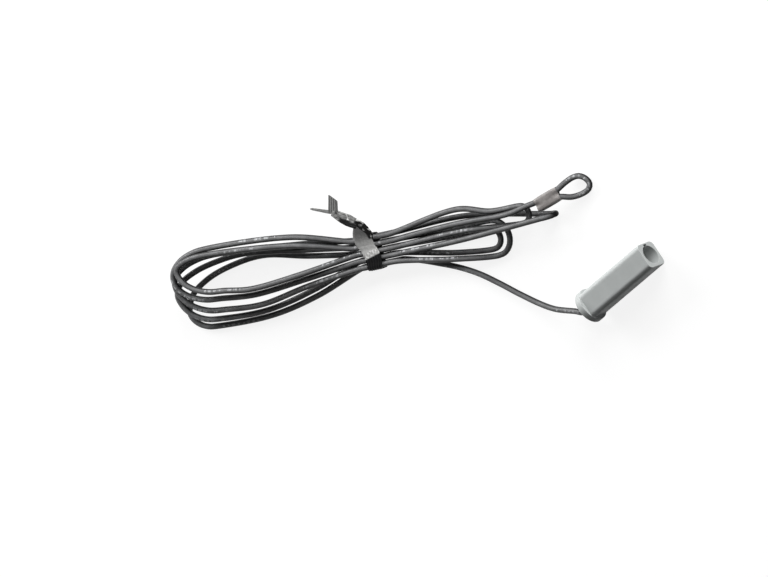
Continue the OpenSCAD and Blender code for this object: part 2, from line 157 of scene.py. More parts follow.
# Cable route: hank axes u along the hank, v across it, z up
TURN = math.radians(-23)
WAIST_X = -140.5
WAIST_Y = 110


def hank(u, v, z):
    c = math.cos(TURN)
    s = math.sin(TURN)
    return Vector((WAIST_X + c * u - s * v, WAIST_Y + s * u + c * v, z))


PITCH = 4.1
WAIST_Z = 2.75
LOW_Z = 1.55
NEAR_LANE = [(-2, 0), (-1, 0), (-2, 1), (-1, 1), (0, 1)]
FAR_LANE = [(0, 0), (1, 0), (2, 0), (2, 1), (1, 1)]


def lane(c, u):
    return (u, c[0] * PITCH, WAIST_Z + c[1] * PITCH)


LOOP_MID_U = 46
LOOP_REACH = [139.5, 142, 139, 136, 129.5]
LOOP_NEAR_MID = [-18.6, -14.5, -11.5, -7.2, -3.6]
LOOP_BELLY_U = 82
LOOP_BELLY = [-24.4, -20.6, -16.4, -9.6, -5.6]
LOOP_NEAR = [-24, -19.8, -14.8, -7.6, -3.2]
LOOP_TIP = [-13, -1.5, 5, 8.5, 13]
LOOP_FAR = [10.8, 14.5, 18, 22.6, 19.6]
LOOP_FAR_MID = [5, 9.3, 13.4, 18.6, 14.2]
LOOP_NEAR_ROUND = [17, 26, 31, 30, 30]
LOOP_FAR_ROUND = [62, 54, 32, 27, 20]
NEAR_RISE = [0.35, 0.25, 0.9, 0.5, 0.65]
BELLY_RISE = 0.9
FAR_RISE = 0.8


def left_loop(k):
    level = LOW_Z + k * PITCH
    points = [lane(NEAR_LANE[k], u) for u in (5, -5, -9)]
    near_z = lane(NEAR_LANE[k], 0)[2]
    far_z = lane(FAR_LANE[k], 0)[2]
    points.append((-LOOP_MID_U, LOOP_NEAR_MID[k], mix(near_z, level, NEAR_RISE[k])))
    points.append((-LOOP_BELLY_U, LOOP_BELLY[k], mix(near_z, level, BELLY_RISE)))
    for i in range(9):
        a = math.radians(-90 + 22.5 * i)
        long = LOOP_NEAR_ROUND[k] if i < 4 else LOOP_FAR_ROUND[k]
        wide = LOOP_TIP[k] - LOOP_NEAR[k] if i < 4 else LOOP_FAR[k] - LOOP_TIP[k]
        u = long * (1 - math.cos(a)) - LOOP_REACH[k]
        points.append((u, LOOP_TIP[k] + wide * math.sin(a), level))
    points.append((-LOOP_MID_U, LOOP_FAR_MID[k], mix(far_z, level, FAR_RISE)))
    return points + [lane(FAR_LANE[k], u) for u in (-9, -5, 5)]


FOLD_REACH = [91, 97.5, 137.5, 119]
FOLD_MID_U = [58, 58, 70, 70]
FOLD_FAR_MID = [(-1.1, 0.1), (3, 0.1), (8.9, 0.1), (14, 5.1)]
FOLD_DIP = [(), (), (), ((92, 8.8, 4.4),)]
FOLD_FAR = [(-1.1, 0), (3, 0), (-0.4, 0.8), (8.3, 5)]
FOLD_NEAR = [(-13.6, 0), (-17.8, 0), (-0.8, 12.4), (-2, 5.1)]
FOLD_NEAR_MID = [(-11.2, 0.1), (-14.2, 4.4), (-3.6, 8.9), (0.9, 5.2)]


def right_fold(k):
    far = FOLD_FAR[k]
    near = FOLD_NEAR[k]
    half = ((far[0] - near[0]) / 2, (far[1] - near[1]) / 2)
    deep = math.hypot(*half)
    far_mid = FOLD_FAR_MID[k]
    near_mid = FOLD_NEAR_MID[k]
    points = [lane(FAR_LANE[k], 18), (FOLD_MID_U[k], far_mid[0], LOW_Z + far_mid[1])]
    points += [(u, v, LOW_Z + z) for u, v, z in FOLD_DIP[k]]
    for i in range(7):
        a = math.radians(90 - 30 * i)
        points.append((
            FOLD_REACH[k] - deep * (1 - math.cos(a)),
            (far[0] + near[0]) / 2 + half[0] * math.sin(a),
            LOW_Z + (far[1] + near[1]) / 2 + half[1] * math.sin(a),
        ))
    points.append((FOLD_MID_U[k], near_mid[0], LOW_Z + near_mid[1]))
    return points + [lane(NEAR_LANE[k + 1], 18)]


LEAD_ROUTE = [
    (31, -10.9, 2.3), (44, -15.2, 1.95), (57, -19.9, 1.85), (70, -26.2, 1.85),
    (82, -34, 1.85), (94, -42.4, 1.95), (107, -50.4, 2.8), (118, -55, 5),
]
EYE_ROUTE = [
    (34, 4.9, 7), (50, 5.4, 7), (68, 5.8, 7.4), (85, 5.6, 8.6), (100, 5.3, 10.6), (112, 6, 11.2),
    (120.6, 7.6, 10.6), (128.8, 8.8, 9.6), (135.4, 10.7, 8.1), (142, 12.6, 6.6), (147, 15.4, 4.6),
    (153, 17.7, 3), (157.5, 17.9, 2.4), (161.4, 15.8, 2.1), (163.4, 12.2, 2), (161.8, 9.3, 2.1),
    (156, 7.2, 2.4), (149.5, 6.9, 4), (143.2, 8.6, 6.6), (136.6, 6.7, 8.1), (130, 4.8, 9.6),
]
SPACING = 1.6
lead_stations = [hank(*lane(NEAR_LANE[0], u)) for u in (16, 18, 20)]
lead_stations += [hank(*p) for p in LEAD_ROUTE]
lead_stations += [Vector((X_FLANGE - 10, 3.4, AXIS_Z - 1))]
lead_stations += [Vector((X_FLANGE - x, 0, AXIS_Z)) for x in (5.5, 2.75, 0)]
hank_stations = [lane(NEAR_LANE[0], u) for u in (16, 14, 12)]
for k in range(4):
    hank_stations += left_loop(k) + right_fold(k)
hank_stations += left_loop(4) + [lane(FAR_LANE[4], u) for u in (12, 14, 16)]
eye_stations = [lane(FAR_LANE[4], u) for u in (16, 18, 20)] + EYE_ROUTE
cable_path = spline(lead_stations[::-1], SPACING)[:-1]
cable_path += spline([hank(*p) for p in hank_stations], SPACING)[:-1]
cable_path += spline([hank(*p) for p in eye_stations], SPACING)


# Cable: one tube from the flange, through the hank, to the end in the sleeve
SIDES = 18
UNEVEN = 0.012
FLOOR_GAP = 0.02
UV_SCALE = 10
spots = [0.0]
for a, b in zip(cable_path, cable_path[1:]):
    spots.append(spots[-1] + (b - a).length)
rings = []
for p, t, s in zip(cable_path, tangents(cable_path), spots):
    side = t.cross(Vector((0, 0, 1))).normalized()
    up = side.cross(t)
    ring = []
    for j in range(SIDES):
        a = TAU * j / SIDES
        place = Vector((s / 9, 2 * math.cos(a), 2 * math.sin(a)))
        r = CABLE_R * (1 + UNEVEN * noise.noise(place))
        q = p - side * (r * math.sin(a)) + up * (r * math.cos(a))
        q.z = max(q.z, FLOOR_GAP)
        ring.append(q)
    rings.append(ring)
cable = make("cable", *skin(rings, caps=True), sharp=60)
uv = cable.data.uv_layers.new(name="jacket")
for poly in cable.data.polygons:
    closes = poly.index % SIDES == SIDES - 1
    for loop in poly.loop_indices:
        ring, j = divmod(cable.data.loops[loop].vertex_index, SIDES)
        turn = 1.0 if closes and j == 0 else j / SIDES
        uv.data[loop].uv = (spots[ring] * MM * UV_SCALE, turn)


# Housing: outer rings from the bush hole over the flange and along the body, then back down the bore
KEY_EASE = 0.12
ARC = 119
edge = math.asin(KEY_HALF / BORE_R)
bore = [(BORE_R + KEY_DEPTH, mix(-KEY_HALF + 0.1, KEY_HALF - 0.1, i / 6)) for i in range(7)]
bore.append((BORE_R + KEY_DEPTH - KEY_EASE, KEY_HALF))
bore.append((BORE_R + KEY_EASE, KEY_HALF))
for i in range(ARC):
    a = mix(edge, TAU - edge, i / (ARC - 1))
    bore.append((BORE_R * math.cos(a), BORE_R * math.sin(a)))
bore.append((BORE_R + KEY_EASE, -KEY_HALF))
bore.append((BORE_R + KEY_DEPTH - KEY_EASE, -KEY_HALF))
angles = [math.atan2(z, y) for y, z in bore]


def square(a, half, r):
    """Distance to a rounded square's outline in direction a."""
    c = abs(math.cos(a))
    s = abs(math.sin(a))
    t = half / max(c, s)
    if min(c, s) * t <= half - r:
        return t
    k = half - r
    m = k * (c + s)
    return m + math.sqrt(max(m * m - 2 * k * k + r * r, 0))


def ring_at(x, radius):
    return [Vector((x, radius(a) * math.cos(a), AXIS_Z + radius(a) * math.sin(a))) for a in angles]


def body_ring(x, inset, least=0.0):
    half = BODY / 2 - inset
    return ring_at(x, lambda a: max(square(a, half, max(CORNER - inset, 0.4)), least))


def bore_ring(x, grow):
    out = []
    for y, z in bore:
        k = 1 + grow / math.hypot(y, z)
        out.append(Vector((x, y * k, AXIS_Z + z * k)))
    return out


RIM = 0.35
FILLET = 0.6
LIP = 0.4
MOUTH = 0.3
FLANGE_MID_R = 6.5
FLARE = 0.09
rings = [ring_at(x, lambda a: BUSH_R + 0.02) for x in (X_FLOOR, X_FLANGE + MOUTH)]
rings.append(ring_at(X_FLANGE, lambda a: BUSH_R + MOUTH))
rings.append(ring_at(X_FLANGE, lambda a: FLANGE_MID_R))
for i in range(6):
    w = math.radians(18 * i)
    r = FLANGE_R - RIM + RIM * math.sin(w)
    rings.append(ring_at(X_FLANGE + RIM * (1 - math.cos(w)), lambda a, r=r: r))
for i in range(6):
    w = math.radians(18 * i)
    r = FLANGE_R - RIM + RIM * math.cos(w)
    rings.append(ring_at(X_SHOULDER - RIM * (1 - math.sin(w)), lambda a, r=r: r))
for i in range(8):
    x = FILLET * (1 - math.cos(math.radians(90 * i / 7)))
    least = BODY / 2 + FILLET - math.sqrt(FILLET**2 - (FILLET - x) ** 2)
    flare = FLARE * (1 - i / 7) ** 2
    rings.append(body_ring(X_SHOULDER + x, -flare, least))
for i in range(1, 13):
    rings.append(body_ring(mix(X_SHOULDER + FILLET, X_OPEN - LIP, i / 12), 0))
for i in range(1, 6):
    w = math.radians(18 * i)
    rings.append(body_ring(X_OPEN - LIP * (1 - math.sin(w)), LIP * (1 - math.cos(w))))
for i in range(6):
    w = math.radians(18 * i)
    rings.append(bore_ring(X_OPEN - MOUTH * (1 - math.cos(w)), MOUTH * (1 - math.sin(w))))
for i in range(1, 7):
    rings.append(bore_ring(mix(X_OPEN - MOUTH, X_RESIN, i / 6), 0))
rings.append(ring_at(X_RESIN, lambda a: CHAMBER_R))
rings.append(ring_at(X_FLOOR, lambda a: CHAMBER_R))
housing = make("housing_shell", *skin(rings, along=True), sharp=50)
housing.modifiers.new("normals", "WEIGHTED_NORMAL").keep_sharp = True


# Eye sleeve: shrink tube over the two strands, drawn in between them
SLEEVE_WALL = 0.62
SLEEVE_SIDES = 64
SLEEVE_ROWS = 30
SLEEVE_START = -0.08
SLEEVE_STOP = 1.06
SLEEVE_A = (hank(130, 4.8, 9.6), hank(128.8, 8.8, 9.6))
SLEEVE_B = (hank(143.2, 8.6, 6.6), hank(142, 12.6, 6.6))


def sleeve_ring(t, grow):
    near = SLEEVE_A[0].lerp(SLEEVE_B[0], t)
    far = SLEEVE_A[1].lerp(SLEEVE_B[1], t)
    mid = (near + far) / 2
    wide = (far - near) / 2
    half = wide.length
    wide.normalize()
    run = (SLEEVE_B[0] - SLEEVE_A[0]).normalized()
    up = wide.cross(run).normalized()
    if up.z < 0:
        up = -up
    r = CABLE_R + SLEEVE_WALL + grow
    end = 1 - step(SLEEVE_START, 0.24, t) * step(SLEEVE_STOP, 0.72, t)
    out = []
    for j in range(SLEEVE_SIDES):
        a = TAU * j / SLEEVE_SIDES
        c = math.cos(a)
        s = math.sin(a)
        w = half * (1 if c > 0 else -1) * min(abs(c) * 2.2, 1) + r * c
        h = r * math.copysign(abs(s) ** 0.86, s)
        h -= math.copysign(mix(0.25, 0.95, end) * math.exp(-((w / 1.4) ** 2)), h)
        crease = 0.10 * noise.noise(Vector((t * 9, w * 0.9, s * 2)))
        crease += 0.05 * noise.noise(Vector((t * 26, w * 2.2, s * 3)))
        out.append(mid + wide * (w * (1 + 0.02 * crease)) + up * (h + crease))
    return out


rings = []
for i in range(SLEEVE_ROWS + 1):
    t = mix(SLEEVE_START, SLEEVE_STOP, i / SLEEVE_ROWS)
    near_end = min(t - SLEEVE_START, SLEEVE_STOP - t)
    rings.append(sleeve_ring(t, -0.26 * math.exp(-((near_end / 0.16) ** 2))))
for t, grow in ((1.064, -0.36), (1.05, -0.54), (0.5, -0.56), (-0.06, -0.54), (-0.084, -0.36)):
    rings.append(sleeve_ring(t, grow))
sleeve = make("eye_sleeve_shrink", *skin(rings, along=True), sharp=70)


# Twist tie: ribbed strip round the waist, its two ends gathered, twisted together and spread
TIE_SPACING = 0.4
THICK = 0.8
BAND_RIBS = 6
SPREAD = 26
WIDE = [mix(-0.5, 0.5, i / (SPREAD - 1)) for i in range(SPREAD)]
WIDE += [-w for w in WIDE]


def strip_ring(p, across, out, width, thick, rib, count=5):
    """One closed section of the strip, with lengthwise ribs on its outer face."""
    ring = []
    for i, w in enumerate(WIDE):
        face = 1 if i < SPREAD else -1
        edge_round = 1 - max(abs(w) * 2 - 0.86, 0) / 0.14 * 0.55
        lift = thick / 2 * edge_round + rib * 0.5 * (1 + math.cos(TAU * count * w)) * (face > 0)
        ring.append(p + across * (w * width) + out * (lift * face))
    return ring


tie_verts = []
tie_faces = []
tie_pale = []


def add_strip(rings, pale, along=False):
    """Adds a strip; pale gives how light it is painted at ring i, place w across it, painted light and
    shade included.
    """
    verts, faces = skin(rings, along=along, caps=not along, start=len(tie_verts))
    tie_verts.extend(verts)
    tie_faces.extend(faces)
    last = len(rings) - 1
    tie_pale.extend(pale(i / last, w) for i in range(len(rings)) for w in WIDE)


U = hank(1, 0, 0) - hank(0, 0, 0)
V = hank(0, 1, 0) - hank(0, 0, 0)
Z = Vector((0, 0, 1))


def ribbon(run, thick, rib, count, pale, push=0, bow=0, crumple=0):
    """A strip along places, widths and directions across; its outward side is the one seen."""
    points = [hank(*place) for place, wide, across in run]
    path = spline(points, TIE_SPACING)
    marks = []
    for i in range(len(points) - 1):
        pieces = max(2, round((points[i + 1] - points[i]).length / TIE_SPACING))
        marks += [i + k / pieces for k in range(pieces)]
    marks.append(len(points) - 1)
    rings = []
    for p, t, m in zip(path, tangents(path), marks):
        k = min(int(m), len(run) - 2)
        a = Vector(run[k][2]).lerp(Vector(run[k + 1][2]), m - k)
        wide = mix(run[k][1], run[k + 1][1], m - k)
        across = U * a[0] + V * a[1] + Z * a[2]
        out = across.cross(t).normalized()
        if out.dot(LOOK) > 0:
            out = -out
        across -= t * across.dot(t)
        across.normalize()
        ring = strip_ring(p + out * push, across, out, wide, thick, rib, count)
        f = m / (len(points) - 1)
        for q in ring:
            w = (q - p).dot(across)
            q += out * (crumple * noise.noise(q * 0.75) * step(1.0, 0.7, f) - bow * w * w)
        rings.append(ring)
    if (rings[0][0] - rings[0][1]).cross(rings[1][0] - rings[0][0]).dot(LOOK) > 0:
        rings = [ring[::-1] for ring in rings]
        add_strip(rings, lambda f, w: pale(f, -w))
    else:
        add_strip(rings, pale)


def table(rows, x):
    for (x0, y0), (x1, y1) in zip(rows, rows[1:]):
        if x <= x1:
            return mix(y0, y1, min(max((x - x0) / (x1 - x0), 0), 1))
    return rows[-1][1]


TIE_MID = [(-8.2, 3.3), (-5, 4), (-2, 3.7), (1, 2.8), (4, 1.3), (8.2, 1.4)]
TIE_WIDE = [(-8.2, 10.4), (-5, 11.2), (-2, 11.3), (1, 11.6), (4, 11.2), (8.2, 9.5)]
TIE_UNDER = (1.6, 8.4)
BAND_R = 2.05
BAND_HALF = (8.2, 2.05)
BAND_MID_Z = WAIST_Z + PITCH / 2
band = []
for cx, cz, a0 in ((1, 1, 0), (-1, 1, 90), (-1, -1, 180), (1, -1, 270)):
    for i in range(10):
        band.append((cx * BAND_HALF[0], cz * BAND_HALF[1], a0 + 10 * i))
full = []
for (v0, z0, a0), (v1, z1, a1) in zip(band, band[1:] + [band[0][:2] + (360,)]):
    pieces = max(1, round(math.hypot(v1 - v0, z1 - z0) / 0.3))
    for i in range(pieces):
        f = i / pieces
        full.append((mix(v0, v1, f), mix(z0, z1, f), mix(a0, a1, f)))


def band_shape(v, a):
    top = (table(TIE_MID, v), table(TIE_WIDE, v))
    f = 1 - step(67.5, 90, a) if a < 90 else min((a - 90) / 180, 1)
    return mix(top[0], TIE_UNDER[0], f), mix(top[1], TIE_UNDER[1], f)


def zone(v, u):
    """How far a spot of the band lies towards its crumpled near bend, in millimetres."""
    return v - 0.22 * u + 0.75


rings = []
for v, z, a in full:
    out = V * math.cos(math.radians(a)) + Z * math.sin(math.radians(a))
    mid, wide = band_shape(v, a)
    near = step(1.5, -1.0, v) if z > 0 else 1.0
    sag = 0.05 * (math.cos(TAU * v / PITCH) - 1) * (abs(a - 90) < 1)
    p = hank(mid, v, BAND_MID_Z + z) + out * (BAND_R + sag)
    ring = strip_ring(p, U * -1, out, wide, THICK, mix(0.02, 0.3, near), BAND_RIBS)
    for q in ring:
        u = (q - p).dot(U)
        g = zone(v, u)
        bend = step(2.4, 1.0, g) * step(-2.6, -1.2, g) * (a < 100) * (z > 0)
        q += out * (bend * 0.45 * noise.noise(Vector((u * 0.9, v * 0.6 + u * 0.5, 3))))
    rings.append(ring)


# Painted light on the band: its top is pale as a painted sheen, the crumpled bend has painted highlights
# on its ribs, and past the bend and on its other faces it is near-black, painted shade
def band_painted_light(f, w):
    v, z, a = full[round(f * (len(full) - 1))]
    if z < 0 or not 60 < a < 130:
        return 0.0
    mid, wide = band_shape(v, a)
    g = zone(v, -w * wide)
    rib = 0.5 + 0.5 * math.cos(TAU * BAND_RIBS * w + 1.2 * v)
    bright = step(1.9, 1.2, g) * step(-2.0, -1.3, g)
    return mix(0.6 * step(-1.9, -1.3, g), 0.55 + 0.45 * rib, bright)


add_strip(rings, band_painted_light, along=True)

# The upper end lifts off the band and narrows; the lower end comes up beside it
ACROSS = (1, 0, 0)
# The upper end's paleness is a painted sheen like the plate's, with a dark band along one edge and darker
# towards its top
ribbon(
    [((1.5, 3.2, 8.7), 11.2, ACROSS), ((0.4, 8.4, 9.7), 12.6, ACROSS), ((1.2, 12, 11.2), 10.5, ACROSS),
     ((2.6, 15.6, 13.6), 7, ACROSS), ((3.9, 19.2, 16.4), 4.8, ACROSS)],
    0.7, 0.04, BAND_RIBS,
    lambda f, w: 0.6 - 0.58 * step(-0.33, -0.41, w) * step(0.15, 0.3, f) - 0.3 * step(0.7, 1, f),
)


def painted_glints(f, w):
    """Painted glints, pale specks on the dark lower end, more of them further up."""
    return 0.02 + 0.85 * (noise.noise(Vector((f * 6, w * 2.6, 5))) > mix(0.3, 0.12, step(0.4, 0.7, f)))


SLANT = (0.88, 0.48, 0)
CRUMPLE = 0.3
ribbon(
    [((5.6, 8.4, 9.2), 3, SLANT), ((6.5, 10.4, 9.8), 3.2, SLANT), ((6.4, 14.3, 12.7), 4.4, SLANT),
     ((5.4, 18.6, 16.4), 5.4, SLANT), ((3.6, 20, 17.8), 5.4, SLANT)],
    THICK, 0.25, 3, painted_glints, crumple=CRUMPLE,
)


# Half a turn of the two ends together, pale above as a painted highlight streaked with painted glints,
# and dark below as painted shade
def body_painted_light(seed):
    def pale(f, w):
        edge = 0.06 + 0.16 * noise.noise(Vector((f * 5, seed, 1.7)))
        glint_streak = noise.noise(Vector((f * 9 + w * 3, w * 2.2, seed))) > 0.16
        upper = 0.28 + 0.6 * glint_streak * step(0.62, 0.5, f) * step(0.1, 0.2, f)
        lower = mix(0.015, 0.34, step(0.62, 0.74, f))
        upper = mix(upper, 0.4, step(0.5, 0.7, f))
        return mix(upper, lower, step(edge - 0.05, edge + 0.05, w)) * step(0.02, 0.14, f)
    return pale


TWIST = [
    ((4.4, 18.4, 16.6), 5.6, (-0.2, -0.76, 0.77)), ((3.2, 19.7, 17.7), 6.4, (-0.26, -0.76, 0.7)),
    ((1.1, 22.2, 19.8), 7, (-0.42, -0.76, 0.52)), ((-0.6, 24.2, 21.6), 6.4, (-0.55, -0.76, 0.36)),
    ((-3.7, 27.6, 23.6), 4.8, (-0.68, -0.76, 0.21)), ((-5.2, 28.9, 24), 4.2, (-0.7, -0.7, 0.1)),
]
ribbon(TWIST, THICK, 0.12, 5, body_painted_light(2.0), push=THICK / 2, bow=0.04, crumple=CRUMPLE)
ribbon(TWIST, THICK, 0.12, 5, body_painted_light(8.0), push=-THICK / 2, bow=-0.02, crumple=CRUMPLE)
END_Z = 24


def sheet(left, right, rows, rib, count, pale):
    """A flat end of the strip between two edge lines."""
    rings = []
    for i in range(rows + 1):
        m = i / rows * (len(left) - 1)
        k = min(int(m), len(left) - 2)
        a = hank(*left[k], END_Z).lerp(hank(*left[k + 1], END_Z), m - k)
        b = hank(*right[k], END_Z).lerp(hank(*right[k + 1], END_Z), m - k)
        p = (a + b) / 2
        p.z += 0.12 * noise.noise(p * 0.2)
        rings.append(strip_ring(p, (b - a).normalized(), Z, (b - a).length, 0.7, rib, count))
    add_strip([ring[::-1] for ring in rings], lambda f, w: pale(f, -w))


# The flag's ribs are painted light on their crests and painted shade between them, and the flag is darker
# at its edges; the tail is darker towards its tip
sheet(
    [(-7.4, 29.0), (-7.2, 31.0), (-4.4, 39.4)], [(-2.4, 27.8), (-1, 29.2), (0.4, 34.8)], 24, 0.3, 4,
    lambda f, w: 0.22 + 0.11 * math.cos(TAU * 4 * w) - 0.15 * step(0.4, 0.5, abs(w)),
)
sheet(
    [(-4.2, 29.6), (-7.4, 30.8), (-18.6, 34), (-20, 33.8)],
    [(-4.6, 27.6), (-8.4, 28.8), (-18.8, 32.6), (-19.9, 33.5)], 24, 0.1, 2,
    lambda f, w: 0.27 - 0.15 * step(0.75, 1, f),
)
tie = make("twist_tie_strip", tie_verts, tie_faces, sharp=55)
# The pale attribute carries the tie's painted light and shade to its material
tie.data.attributes.new("pale", "FLOAT", "POINT").data.foreach_set("value", tie_pale)


# Materials
def nodes_of(name):
    mat = bpy.data.materials.new(name)
    mat.use_nodes = True
    tree = mat.node_tree
    return mat, tree, tree.nodes["Principled BSDF"]


def add(tree, kind, **values):
    node = tree.nodes.new(kind)
    for key, value in values.items():
        if hasattr(node, key):
            setattr(node, key, value)
        else:
            node.inputs[key.replace("_", " ")].default_value = value
    return node


def math_node(tree, op, a, b=None, c=None):
    node = tree.nodes.new("ShaderNodeMath")
    node.operation = op
    for socket, value in zip(node.inputs, (a, b, c)):
        if value is None:
            continue
        if isinstance(value, (int, float)):
            socket.default_value = value
        else:
            tree.links.new(value, socket)
    return node.outputs[0]


def grain(tree, scale, detail=3.0, rough=0.6, stretch=None):
    place = tree.nodes.new("ShaderNodeTexCoord").outputs["Object"]
    if stretch:
        mapping = tree.nodes.new("ShaderNodeMapping")
        mapping.inputs["Scale"].default_value = stretch
        tree.links.new(place, mapping.inputs["Vector"])
        place = mapping.outputs["Vector"]
    tex = add(tree, "ShaderNodeTexNoise", Scale=scale, Detail=detail, Roughness=rough)
    tree.links.new(place, tex.inputs["Vector"])
    return tex.outputs["Fac"]


def span(tree, value, a, b, lo, hi):
    node = tree.nodes.new("ShaderNodeMapRange")
    for key, v in (("From Min", a), ("From Max", b), ("To Min", lo), ("To Max", hi)):
        node.inputs[key].default_value = v
    tree.links.new(value, node.inputs["Value"])
    return node.outputs["Result"]


def blend(tree, fac, a, b):
    node = tree.nodes.new("ShaderNodeMix")
    node.data_type = "RGBA"
    for key, value in ((6, a), (7, b)):
        if isinstance(value, tuple):
            node.inputs[key].default_value = (*value, 1)
        else:
            tree.links.new(value, node.inputs[key])
    tree.links.new(fac, node.inputs[0])
    return node.outputs[2]


def even(tree, value, lo, hi):
    """Spreads a noise value, which stays near its middle, from lo to hi."""
    return span(tree, value, 0.3, 0.7, lo, hi)


def add_bump(tree, shader, height, strength, depth):
    lift = add(tree, "ShaderNodeBump", Strength=strength, Distance=depth)
    tree.links.new(height, lift.inputs["Height"])
    tree.links.new(lift.outputs["Normal"], shader.inputs["Normal"])


def finish_of(
    name, dark, light, patch, rough, fine, bump, depth=0.00005, stretch=None, **sockets
):
    """Two close colours in soft patches, uneven gloss, and a fine grain."""
    mat, tree, shader = nodes_of(name)
    soft = even(tree, grain(tree, patch, 4, stretch=stretch), 0, 1)
    gloss = even(tree, grain(tree, patch * 3, 3, stretch=stretch), *rough)
    tree.links.new(blend(tree, soft, dark, light), shader.inputs["Base Color"])
    tree.links.new(gloss, shader.inputs["Roughness"])
    add_bump(tree, shader, grain(tree, fine, 2, stretch=stretch), bump, depth)
    for key, value in sockets.items():
        shader.inputs[key.replace("_", " ")].default_value = value
    return mat


# Each finish: two colours, patch scale, range of roughness, grain scale, and strength of the grain
DRAWN = (0.1, 1, 1)
grey = finish_of(
    "housing_plastic", (0.42, 0.44, 0.435), (0.47, 0.49, 0.485), 90, (0.5, 0.62), 5200, 0.2, 0.00004,
    Specular_IOR_Level=0.25,
)
rubber = finish_of(
    "bush_rubber", (0.016, 0.016, 0.016), (0.035, 0.034, 0.033), 500, (0.6, 0.8), 7000, 0.25
)
resin = finish_of(
    "potting_resin", (0.012, 0.012, 0.013), (0.03, 0.03, 0.03), 220, (0.12, 0.3), 900, 0.12, 0.0002
)
shrink = finish_of(
    "eye_sleeve_shrink", (0.17, 0.157, 0.152), (0.25, 0.234, 0.226), 260, (0.42, 0.62), 3600, 0.3, 0.00006
)
nickel = finish_of(
    "reed_metal", (0.50, 0.48, 0.45), (0.66, 0.64, 0.60), 900, (0.22, 0.38), 9000, 0.15,
    stretch=DRAWN, Metallic=1.0,
)
copper = finish_of(
    "copper_strands", (0.60, 0.27, 0.14), (0.78, 0.42, 0.26), 900, (0.25, 0.4), 9000, 0.2,
    stretch=DRAWN, Metallic=1.0,
)
solder = finish_of(
    "solder", (0.50, 0.50, 0.52), (0.70, 0.70, 0.72), 1200, (0.18, 0.4), 5000, 0.3, Metallic=1.0
)
red = finish_of("core_red", (0.42, 0.02, 0.02), (0.56, 0.045, 0.04), 800, (0.35, 0.5), 8000, 0.15)
white = finish_of("core_white", (0.66, 0.66, 0.63), (0.80, 0.79, 0.76), 800, (0.35, 0.5), 8000, 0.15)
black = finish_of("lap_sleeve", (0.02, 0.02, 0.02), (0.05, 0.05, 0.05), 800, (0.4, 0.6), 8000, 0.2)
glass = finish_of(
    "reed_glass", (0.72, 0.84, 0.74), (0.80, 0.90, 0.82), 400, (0.02, 0.06), 3000, 0.02,
    Transmission_Weight=1.0, IOR=1.5,
)
INK_CELL = 3.6
INK_WORD = 84.0
INK_PART = 0.32


def jacket():
    """Charcoal vinyl, paler on its upper side as a painted highlight, with broken rows of pale ink
    dashes.
    """
    mat, tree, shader = nodes_of("cable_jacket")
    place = tree.nodes.new("ShaderNodeUVMap")
    place.uv_map = "jacket"
    parts = tree.nodes.new("ShaderNodeSeparateXYZ")
    tree.links.new(place.outputs["UV"], parts.inputs[0])
    s = math_node(tree, "MULTIPLY", parts.outputs["X"], 1 / (MM * UV_SCALE))
    turn = parts.outputs["Y"]

    def chance(value, seed):
        tex = tree.nodes.new("ShaderNodeTexWhiteNoise")
        tex.noise_dimensions = "1D"
        tree.links.new(math_node(tree, "ADD", math_node(tree, "FLOOR", value), seed), tex.inputs["W"])
        return tex.outputs["Value"]

    def times(a, b):
        return math_node(tree, "MULTIPLY", a, b)

    def minus(a, b):
        return math_node(tree, "SUBTRACT", a, b)

    # Where a spot lies in its cell and word, and how far it is round the cable from the row of ink
    cell = math_node(tree, "DIVIDE", s, INK_CELL)
    word = math_node(tree, "DIVIDE", s, INK_WORD)
    here = math_node(tree, "FRACT", cell)
    wander = times(math_node(tree, "SINE", math_node(tree, "DIVIDE", s, 97.0)), 0.1)
    off = minus(turn, wander)
    off = minus(off, math_node(tree, "FLOOR", math_node(tree, "ADD", off, 0.5)))

    # A dash in most cells of the first part of most words
    tall = span(tree, chance(cell, 7.3), 0, 1, 0.035, 0.075)
    long = span(tree, chance(cell, 31.7), 0, 1, 0.25, 0.85)
    inside = span(tree, minus(tall, math_node(tree, "ABSOLUTE", off)), -0.01, 0.01, 0, 1)
    inside = times(inside, span(tree, minus(long, here), -0.05, 0.05, 0, 1))
    inside = times(inside, math_node(tree, "GREATER_THAN", chance(cell, 53.9), 0.2))
    inside = times(inside, math_node(tree, "GREATER_THAN", chance(word, 3.1), 0.25))
    inside = times(inside, math_node(tree, "LESS_THAN", math_node(tree, "FRACT", word), INK_PART))
    ink = times(inside, span(tree, grain(tree, 900, 2), 0.36, 0.6, 0.1, 0.9))

    # Painted highlight: where the jacket faces upwards it is coloured paler, with a mottle, standing in
    # for the light on the strands' tops
    above = tree.nodes.new("ShaderNodeSeparateXYZ")
    tree.links.new(tree.nodes.new("ShaderNodeNewGeometry").outputs["Normal"], above.inputs[0])
    upward = span(tree, above.outputs["Z"], 0.35, 0.95, 0, 1)
    painted_highlight = times(upward, even(tree, grain(tree, 130, 5), 0.55, 1))
    body = blend(tree, painted_highlight, (0.004, 0.0042, 0.0047), (0.21, 0.212, 0.215))
    tree.links.new(blend(tree, ink, body, (0.48, 0.49, 0.5)), shader.inputs["Base Color"])
    tree.links.new(even(tree, grain(tree, 420, 4), 0.24, 0.36), shader.inputs["Roughness"])
    shader.inputs["Specular IOR Level"].default_value = 0.1
    add_bump(tree, shader, grain(tree, 4200, 2), 0.14, 0.00005)
    return mat


